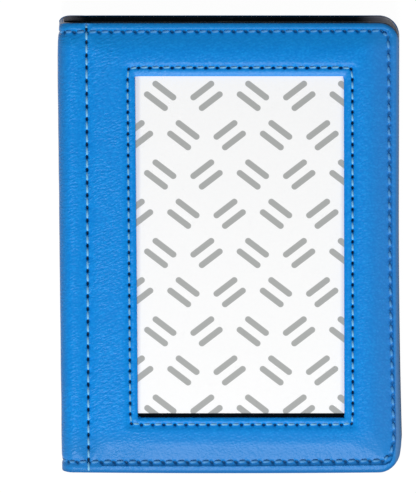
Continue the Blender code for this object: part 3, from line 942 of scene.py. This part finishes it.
def tint(factor, first, second):
    """The first colour where the factor is 0, and the second where it is 1."""
    mix = wire(factor.tree, "ShaderNodeMix", {"Factor": factor}, data_type="RGBA")
    for name, colour in (("A", first), ("B", second)):
        target = next(item for item in mix.inputs if item.name == name and item.type == "RGBA")
        if isinstance(colour, bpy.types.NodeSocket):
            factor.tree.links.new(colour, target)
        else:
            target.default_value = (*colour, 1)
    return next(item for item in mix.outputs if item.type == "RGBA")


class Places(NamedTuple):
    """Distances on the closed cover, and the level above its back as a share of its thickness."""
    from_spine: Field
    from_fore: Field
    from_tail: Field
    from_head: Field
    level: Field


class Finish:
    """A material, and the patterns that the finishes are made of."""

    def __init__(self, name, roughness, specular):
        self.material = bpy.data.materials.new(name)
        self.material.use_nodes = True
        self.tree = self.material.node_tree
        self.shader = self.tree.nodes["Principled BSDF"]
        self.shader.inputs["Roughness"].default_value = roughness
        self.shader.inputs["Specular IOR Level"].default_value = specular

    def field(self, kind, output, inputs=None, **settings):
        return Field(self.tree, wire(self.tree, kind, inputs, **settings).outputs[output])

    def coordinates(self, scale=(1, 1, 1), turn=0.0, kind="POINT"):
        """Place on the object. With kind TEXTURE the scale is the size in metres of a unit of the pattern."""
        where = self.field("ShaderNodeTexCoord", "Object")
        inputs = {"Vector": where, "Scale": scale, "Rotation": (0, 0, turn)}
        return self.field("ShaderNodeMapping", "Vector", inputs, vector_type=kind)

    def places(self):
        split = wire(self.tree, "ShaderNodeSeparateXYZ", {"Vector": self.coordinates()})
        x, y, z = (Field(self.tree, split.outputs[way]) for way in "XYZ")
        return Places(x - CAD_LOW.x, CAD_HIGH.x - x, y + HEAD, HEAD - y, z / THICKNESS)

    def attribute(self, name):
        return self.field("ShaderNodeAttribute", "Fac", attribute_name=name)

    def clouds(self, where, scale, detail, distortion=0.0):
        inputs = {"Vector": where, "Scale": scale, "Detail": detail, "Distortion": distortion}
        return self.field("ShaderNodeTexNoise", "Fac", inputs)

    def waves(self, where, scale, distortion, way):
        inputs = {"Vector": where, "Scale": scale, "Distortion": distortion, "Detail": 1.0}
        return self.field("ShaderNodeTexWave", "Fac", inputs, bands_direction=way)

    def grain(self, where, cells):
        """Soft pebbles of about the given number to a metre, raised in their middles."""
        stirred = self.field("ShaderNodeTexNoise", "Color", {"Vector": where, "Scale": cells * 0.5,
                                                             "Detail": 1.0})
        shift = self.field("ShaderNodeVectorMath", 0, {0: stirred, "Scale": 0.5 / cells}, operation="SCALE")
        moved = self.field("ShaderNodeVectorMath", 0, {0: where, 1: shift}, operation="ADD")
        inputs = {"Vector": moved, "Scale": cells, "Smoothness": 0.55}
        return self.field("ShaderNodeTexVoronoi", "Distance", inputs, feature="SMOOTH_F1").spread(
            0.15, 0.75, 1, 0)

    def painted(self, base, *bumps):
        """The material in its colour, with bumps one over the other: (height, strength, distance)."""
        self.tree.links.new(base, self.shader.inputs["Base Color"])
        below = {}
        for height, strength, distance in bumps:
            inputs = {"Height": height, "Strength": strength, "Distance": distance}
            normal = wire(self.tree, "ShaderNodeBump", inputs | below).outputs["Normal"]
            self.tree.links.new(normal, self.shader.inputs["Normal"])
            below = {"Normal": normal}
        return self.material


def blue_leather():
    """Pebble grain on sky blue with short wrinkles, and painted shade and light towards its edges and in its
    needle holes.
    """
    finish = Finish("sky_blue_leather", 0.35, 0.11)
    metres = finish.coordinates()
    at = finish.places()
    pebble = finish.grain(metres, 1250.0)
    coarse = finish.clouds(metres, 620.0, 2.0)
    patches = finish.clouds(metres, 75.0, 2.0)
    wrinkle = finish.clouds(finish.coordinates(WRINKLE_SIZE, WRINKLE_TURN, "TEXTURE"), 1.0, 1.0, 0.3)
    near_spine = at.from_spine.spread(*CREASES_FADE)
    creased = wrinkle.spread(0.30, 0.70) * near_spine * patches.spread(0.38, 0.56, 0.35, 1)
    # Edge paint and painted shade on the rim: full at the tail, less towards the head
    rim_paint_and_shade = (at.from_tail / COVER_HEIGHT).spread(0, 1, 1, 0.3)
    # Where the painted highlight lies: on the lip above the window's head, across the window's width
    beside_window = abs(at.from_spine - WINDOW_FROM_SPINE - WINDOW_WIDTH / 2) - WINDOW_WIDTH / 2
    above_window = WINDOW_FROM_HEAD - at.from_head
    head_lip_highlight = above_window.spread(*LIP_FOOT_BAND) * above_window.spread(*LIP_TOP_BAND)
    base = tint(pebble, *LEATHER_BLUES)
    # Over the grain: bands of painted shade and painted light, edge paint with painted shade on the rim, and
    # painted shade in the needle holes
    for mask, colour in ((coarse.spread(0.36, 0.62, 0, 0.45), MOTTLE_BLUE),
                         (creased * 0.22, CREASE_BLUE),
                         (at.from_fore.spread(*FORE_SHADE_BAND), FORE_SHADE_BLUE),
                         (at.from_spine.spread(*SPINE_SHADE_BAND), SPINE_SHADE_BLUE),
                         (at.from_tail.spread(*TAIL_SHEEN_BAND), TAIL_SHEEN_BLUE),
                         (at.from_head.spread(*HEAD_SHADE_BAND), HEAD_SHADE_BLUE),
                         (finish.attribute("cut_edge").spread(0.10, 0.80) * rim_paint_and_shade, RIM_PAINT_AND_SHADE_BLUE),
                         (at.from_fore.spread(*FRINGE_LIGHT_BAND), FRINGE_LIGHT_BLUE),
                         (beside_window.spread(*LIP_SIDE_BAND) * head_lip_highlight, LIP_HIGHLIGHT_BLUE),
                         (finish.attribute("needle_hole"), HOLE_SHADE_BLUE)):
        base = tint(mask, base, colour)
    return finish.painted(base, (pebble, 0.5, 0.00005), (coarse, 0.6, 0.00009), (creased, 0.7, 0.00011))


def black_with_corner_light(finish, base, reach):
    """Black greyed by painted light at both ends of the head side, as far in from the head as it reaches.

    The painted light follows the round corner, fades out under the front leather, and goes through to a paler
    grey at the fold and at the back of the corner.
    """
    at = finish.places()
    past_turn = (CORNER_RADIUS - at.from_fore).at_least(0)
    round_corner = CORNER_RADIUS - (CORNER_RADIUS ** 2 - past_turn * past_turn).at_least(0).root()
    at_head = (at.from_head - round_corner).spread(reach / 2, reach, 1, 0)
    corner_light = at.from_fore.spread(*CORNER_LIGHT_FORE) + at.from_spine.spread(*CORNER_LIGHT_SPINE)
    corner_light = corner_light * at_head * at.level.spread(*CORNER_LIGHT_LEVELS)
    # The paler grey of painted light, at the back of the corner and at the fold
    at_corner = at.from_fore.spread(*BRIGHT_CORNER_BAND) * at.level.spread(*BRIGHT_CORNER_LEVELS)
    bare = (at_corner + at.from_spine.spread(*BRIGHT_FOLD_BAND)) * at_head
    return tint(bare, tint(corner_light, base, CORNER_LIGHT_GREY), CORNER_BRIGHT_GREY)


def black_edge_paint():
    """Cut edges of leather, board and lining, painted black over their layers."""
    finish = Finish("black_edge_paint", 0.7, 0.0)
    layers = finish.clouds(finish.coordinates((60, 60, 2600)), 1.0, 3.0)
    smooth = finish.clouds(finish.coordinates(), 90.0, 3.0)
    base = tint(layers.spread(0.40, 0.62), *PAINT_BLACKS)
    base = tint(smooth.spread(0.50, 0.72, 0, 0.6), base, SMOOTH_BLACK)
    return finish.painted(black_with_corner_light(finish, base, EDGE_LIGHT_REACH), (layers, 0.5, 0.00015))


def twisted_thread(name, shade, light):
    """Twisted polyester: the plies wind round the stitch along its own UV map, and a painted highlight
    brightens each stitch towards one end.
    """
    finish = Finish(name, 0.42, 0.25)
    uv = finish.field("ShaderNodeUVMap", "UV", uv_map="UVMap")
    turned = finish.field("ShaderNodeMapping", "Vector", {"Vector": uv, "Scale": (1.4, 5, 1),
                                                          "Rotation": (0, 0, 0.9)})
    plies = finish.waves(turned, 1.0, 0.5, "X")
    along = finish.field("ShaderNodeSeparateXYZ", "Y", {"Vector": uv})
    # Painted highlight: brighter towards one end of each stitch, over the pattern of the plies
    lit = along.spread(0.10, 0.75, 1, 0.35) * plies.spread(0.1, 0.8, 0.45, 1)
    return finish.painted(tint(lit, shade, light), (plies, 0.6, 0.00006))


def black_cloth():
    """Woven lining: two crossed sets of threads."""
    finish = Finish("black_lining", 0.8, 0.08)
    metres = finish.coordinates()
    weave = finish.waves(metres, 420.0, 0.3, "X") * finish.waves(metres, 420.0, 0.3, "Y")
    base = black_with_corner_light(finish, tint(weave, *CLOTH_BLACKS), CLOTH_LIGHT_REACH)
    return finish.painted(base, (weave, 0.6, 0.0001))


def black_split_leather():
    """Thin pocket leather, finer in grain than the outside."""
    finish = Finish("black_pocket_leather", 0.65, 0.03)
    metres = finish.coordinates()
    mottle = finish.clouds(metres, 90.0, 3.0).spread(0.3, 0.7)
    base = black_with_corner_light(finish, tint(mottle, *POCKET_BLACKS), CLOTH_LIGHT_REACH)
    return finish.painted(base, (finish.grain(metres, 1700.0), 0.5, 0.00006))


def white_foam():
    finish = Finish("white_foam", 0.9, 0.2)
    inputs = {"Vector": finish.coordinates(), "Scale": 2400.0}
    cells = finish.field("ShaderNodeTexVoronoi", "Distance", inputs)
    return finish.painted(tint(cells, *FOAM_WHITES), (cells, 0.7, 0.0001))


def black_board():
    finish = Finish("black_board", 0.85, 0.08)
    fibres = finish.clouds(finish.coordinates(), 900.0, 4.0)
    base = black_with_corner_light(finish, tint(fibres.spread(0.35, 0.7), *BOARD_BLACKS), EDGE_LIGHT_REACH)
    return finish.painted(base, (fibres, 0.5, 0.00005))


def clear_adhesive():
    finish = Finish("clear_adhesive", 0.25, 0.5)
    return finish.painted(tint(finish.clouds(finish.coordinates(), 250.0, 2.0), *ADHESIVE_YELLOWS))


def printed_bars(across, down):
    """Pairs of short bars that lean left and right in turn, laid like bricks: 1 inside a bar, 0 outside."""
    row = (down / PRINT_ROW).floor()
    shifted = across / PRINT_COLUMN + row % 2 * 0.5
    column = shifted.floor()
    leaning = (shifted - column - 0.5) * PRINT_COLUMN * (1 - (column + row) % 2 * 2)
    y = (down / PRINT_ROW - row - 0.5) * PRINT_ROW
    along = leaning * math.cos(BAR_LEAN) + y * math.sin(BAR_LEAN)
    beside = y * math.cos(BAR_LEAN) - leaning * math.sin(BAR_LEAN)
    from_bar = abs(beside) - BAR_SPACING / 2
    past_end = (abs(along) - (BAR_LENGTH - BAR_WIDTH) / 2).at_least(0)
    distance = (from_bar * from_bar + past_end * past_end).root()
    return distance.spread(BAR_WIDTH / 2 - BAR_BLUR, BAR_WIDTH / 2 + BAR_BLUR, 1, 0)


def release_paper():
    """Smooth white paper with a grey print, greyer beside the leather that stands over its long edges."""
    finish = Finish("white_liner_paper", 0.42, 0.35)
    at = finish.places()
    fibres = finish.clouds(finish.coordinates(), 900.0, 3.0)
    across = at.from_spine - WINDOW_FROM_SPINE
    from_side = across.at_most(WINDOW_WIDTH - across)
    paper = tint(from_side.spread(*PAPER_SHADE_BAND), tint(fibres, *PAPER_WHITES), PAPER_SHADE)
    base = tint(printed_bars(across, at.from_head - WINDOW_FROM_HEAD), paper, PRINT_GREY)
    return finish.painted(base, (fibres, 0.15, 0.00002))


def make_finishes():
    return {
        "leather": blue_leather(),
        "edge_paint": black_edge_paint(),
        "thread": twisted_thread("pale_thread", *THREAD_BLUES),
        "edge_thread": twisted_thread("pale_edge_thread", *EDGE_THREAD_BLUES),
        "lining": black_cloth(),
        "pocket": black_split_leather(),
        "foam": white_foam(),
        "board": black_board(),
        "adhesive": clear_adhesive(),
        "paper": release_paper(),
    }


# Pieces

def dress(piece, slot, *nodes):
    if nodes:
        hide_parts(*nodes)


def make_outer_leather(finish):
    window = (WINDOW_LEFT - LIP_LEFT_SHIFT, WINDOW_RIGHT, WINDOW_BOTTOM - LIP_FOOT_DROP,
              WINDOW_TOP + LIP_HEAD_RISE)
    sides = [("front", 1, front_surface, window, [window_seam()]), ("back", -1, plain_surface, None, [])]
    for name, side, surface, opening, seams in sides:
        piece = make_leather(name + "_cover_leather", side, surface, opening,
                             [edge_seam(side), hinge_seam(side)] + seams, finish)
        bend_with_fold(piece, side)
        dress(piece, "sky_blue_leather", name + "_leather", "spine_leather")


def make_linings(finish):
    for side, name in SIDES:
        keep = [SPINE_HALF, FOLD_END, HINGE_SEAM, BOARD_EDGE]
        fold_lines = lines_between(0, BOARD_EDGE, LINING_FOLD_STEP, keep)
        flat_lines = lines_between(BOARD_EDGE, FORE_EDGE, LINING_STEP)
        bm = cut_sheet(side, fold_lines + flat_lines, lines_between(-HEAD, HEAD, LINING_STEP))
        piece = lay_sheet(name + "_cover_lining", bm, lining_face, lining_back,
                          [finish["lining"]] * 2, THIN_EDGE_ROUNDING)
        bend_with_fold(piece, side)
        dress(piece, "black_lining", name + "_lining", "spine_lining")


def make_pockets(finish):
    for side, name in SIDES:
        keep = [POCKET_MOUTH + POCKET_HEM, POCKET_MOUTH + POCKET_HEM - POCKET_HEM_STEP,
                FORE_EDGE - EDGE_SEAM_INSET]
        s_lines = lines_between(POCKET_MOUTH, FORE_EDGE, POCKET_STEP_ACROSS, keep)
        bm = cut_sheet(side, s_lines, lines_between(-HEAD, HEAD, POCKET_STEP_UP, END_SEAMS))
        piece = lay_sheet(name + "_slip_pocket", bm, pocket_face, pocket_back,
                          [finish["pocket"]] * 2, POCKET_EDGE_ROUNDING)
        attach(piece, name + "_cover")
        dress(piece, "black_pocket_leather", name + "_pocket")


def make_paddings(finish):
    for side, name, surface, window in ((1, "front", front_surface, window_edges(PADDING_LIP)),
                                        (-1, "back", plain_surface, None)):
        across_keep = [FORE_EDGE - EDGE_SEAM_INSET]
        up_keep = list(END_SEAMS)
        if window:
            across_keep += window[:2]
            up_keep += window[2:]
        s_lines = lines_between(HINGE_SEAM, FORE_EDGE, PADDING_STEP, across_keep)
        v_lines = lines_between(-HEAD, HEAD, PADDING_STEP, up_keep)
        bm = cut_sheet(side, s_lines, v_lines, window)
        piece = lay_sheet(name + "_foam", bm, under_glue(surface), lambda s, v: PADDING_FLOOR,
                          [finish["foam"], finish["edge_paint"]], THIN_EDGE_ROUNDING, PADDING_STEP)
        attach(piece, name + "_cover")
        dress(piece, "white_foam", name + "_padding")


def make_liner(finish):
    """The release paper, which lifts a little here and there, with its long sides and head under the lip."""
    low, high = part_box("release_liner")
    left = CAD_LOW.x + WINDOW_FROM_SPINE - PAPER_LAP
    width = WINDOW_WIDTH + 2 * PAPER_LAP
    height = WINDOW_TOP + PAPER_LAP - low.y
    bm = cut_sheet(1, lines_between(0, width, PAPER_STEP), lines_between(0, height, PAPER_STEP))
    for vert in bm.verts:
        x, y = vert.co.x, vert.co.y
        lift = PAPER_WAVE * (1 + noise.noise(Vector((x, y, 0.4)) / PAPER_WAVE_LENGTH))
        leaning = lean(left + x - CAD_LOW.x, low.y + y)
        vert.co = (left + x + leaning, low.y + y, high.z + lift - (0 if is_outside(vert) else PAPER))
    piece = keep_mesh("release_paper", bm, [finish["paper"]])
    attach(piece, "front_cover")
    dress(piece, "white_liner_paper", "release_liner")


def make_threads(finish):
    """Stitches on the outside, and the bobbin thread's stitches on the inside."""
    front_edge, back_edge = edge_seam(1), edge_seam(-1)
    across_spine = [(back_edge.holes[0], front_edge.holes[0]), (front_edge.holes[-1], back_edge.holes[-1])]
    spine_nodes = ["spine_head_thread", "spine_tail_thread"]
    for side, name, seam, further, nodes in ((1, "front", front_edge, across_spine, spine_nodes),
                                             (-1, "back", back_edge, [], [])):
        edge, hinge = stitches_of(seam) + further, hinge_seam(side)
        for what, surface, way, replaced in (("stitching", plain_surface, 1, [name + "_edge_thread"] + nodes),
                                             ("bobbin_stitching", inside_surface, -1, [])):
            piece = sew(name + "_edge_" + what, edge, surface, seam.look, finish["edge_thread"], way)
            bend_with_fold(piece, side)
            dress(piece, "pale_blue_thread", *replaced)
        for what, surface, way, ends, replaced in (
                ("stitching", plain_surface, 1, end_stitches(hinge), [name + "_hinge_thread"]),
                ("bobbin_stitching", inside_surface, -1, [], [])):
            piece = sew(name + "_hinge_" + what, stitches_of(hinge) + ends, surface, hinge.look,
                        finish["thread"], way)
            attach(piece, name + "_cover")
            dress(piece, "pale_blue_thread", *replaced)
    piece = sew("window_stitching", stitches_of(window_seam()), front_surface, WINDOW_LOOK, finish["thread"])
    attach(piece, "front_cover")
    dress(piece, "pale_blue_thread", "window_thread")


def finish_boards(finish):
    for node, material in (("front_board", "board"), ("back_board", "board"), ("adhesive_pad", "adhesive")):
        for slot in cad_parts[node].material_slots:
            slot.material = finish[material]


# Stage

FLOOR_GLOW = 0.965
WORLD_LIGHT = 0.30
LIGHT_PLACE = Vector((-0.12, -1.12, 1.44))
LIGHT_SIZE = (0.70, 0.50)
LIGHT_POWER = 29
PHOTO_WIDTH, PHOTO_HEIGHT = 416, 493
OBJECT_CENTRE_PX = (228.7, 244.95)
METRES_PER_PIXEL = 0.000307
CAMERA_TILT = math.radians(12.1)
CAMERA_LENS = 1200
SENSOR_WIDTH = 36


def seen_directly(tree):
    """1 for the camera, and for what it sees in a mirror or through glass."""
    rays = wire(tree, "ShaderNodeLightPath")
    seen = wire(tree, "ShaderNodeMath", {0: rays.outputs["Is Camera Ray"], 1: rays.outputs["Is Glossy Ray"]},
                operation="ADD", use_clamp=True)
    return wire(tree, "ShaderNodeMath", {0: seen.outputs[0], 1: rays.outputs["Is Transmission Ray"]},
                operation="ADD", use_clamp=True).outputs[0]


def make_floor():
    bm = bmesh.new()
    bmesh.ops.create_grid(bm, x_segments=1, y_segments=1, size=3)
    mesh = bpy.data.meshes.new("floor")
    bm.to_mesh(mesh)
    bm.free()
    floor = put_in_scene("floor", mesh)
    finish = Finish("pale_floor", 0.9, 0.1)
    tree = finish.tree
    finish.shader.inputs["Base Color"].default_value = (0.9, 0.9, 0.9, 1)
    grey = wire(tree, "ShaderNodeBsdfDiffuse", {"Color": (0.07, 0.07, 0.07, 1)})
    glow = wire(tree, "ShaderNodeEmission", {"Color": (1, 1, 1, 1), "Strength": FLOOR_GLOW})
    white = wire(tree, "ShaderNodeAddShader", {0: grey.outputs[0], 1: glow.outputs[0]})
    mix = wire(tree, "ShaderNodeMixShader", {0: seen_directly(tree), 1: finish.shader.outputs[0],
                                             2: white.outputs[0]})
    tree.links.new(mix.outputs[0], tree.nodes["Material Output"].inputs["Surface"])
    mesh.materials.append(finish.material)


def make_world():
    world = bpy.data.worlds.new("studio")
    bpy.context.scene.world = world
    world.use_nodes = True
    tree = world.node_tree
    tree.nodes.clear()
    output = wire(tree, "ShaderNodeOutputWorld")
    soft = wire(tree, "ShaderNodeBackground", {"Color": (1, 1, 1, 1), "Strength": WORLD_LIGHT})
    white = wire(tree, "ShaderNodeBackground", {"Color": (1, 1, 1, 1), "Strength": 1.0})
    mix = wire(tree, "ShaderNodeMixShader", {0: seen_directly(tree), 1: soft.outputs[0],
                                             2: white.outputs[0]})
    tree.links.new(mix.outputs[0], output.inputs["Surface"])


def make_light():
    """One large soft light, high up beyond the tail and turned to the cover."""
    light = bpy.data.lights.new("key_from_tail", "AREA")
    light.shape = "RECTANGLE"
    light.size, light.size_y = LIGHT_SIZE
    light.energy = LIGHT_POWER
    lamp = put_in_scene("key_from_tail", light)
    lamp.location = LIGHT_PLACE
    lamp.rotation_mode = "QUATERNION"
    lamp.rotation_quaternion = (-LIGHT_PLACE).to_track_quat("-Z", "Y")


def make_camera():
    """A long lens above the cover, leaning a little towards its head."""
    data = bpy.data.cameras.new("camera")
    data.lens = CAMERA_LENS
    data.sensor_width = SENSOR_WIDTH
    camera = put_in_scene("camera", data)
    seen_height = PHOTO_HEIGHT * METRES_PER_PIXEL
    distance = seen_height * CAMERA_LENS / SENSOR_WIDTH
    data.clip_end = 10 * distance
    back = Vector((0, math.sin(CAMERA_TILT), math.cos(CAMERA_TILT)))
    right = Vector((1, 0, 0))
    up = back.cross(right)
    centre = (CAD_LOW + CAD_HIGH) / 2
    left_px = PHOTO_WIDTH / 2 - OBJECT_CENTRE_PX[0]
    up_px = OBJECT_CENTRE_PX[1] - PHOTO_HEIGHT / 2
    aim = centre + right * left_px * METRES_PER_PIXEL + up * up_px * METRES_PER_PIXEL
    turned = Matrix((right, up, back)).transposed().to_4x4()
    camera.matrix_world = Matrix.Translation(aim + back * distance) @ turned
    bpy.context.scene.camera = camera


def main():
    finish = make_finishes()
    make_outer_leather(finish)
    make_linings(finish)
    make_pockets(finish)
    make_paddings(finish)
    make_liner(finish)
    make_threads(finish)
    finish_boards(finish)
    make_floor()
    make_world()
    make_light()
    make_camera()
    bpy.context.scene.view_settings.view_transform = "Standard"


main()
[list(corner) for corner in (CAD_LOW, CAD_HIGH)]
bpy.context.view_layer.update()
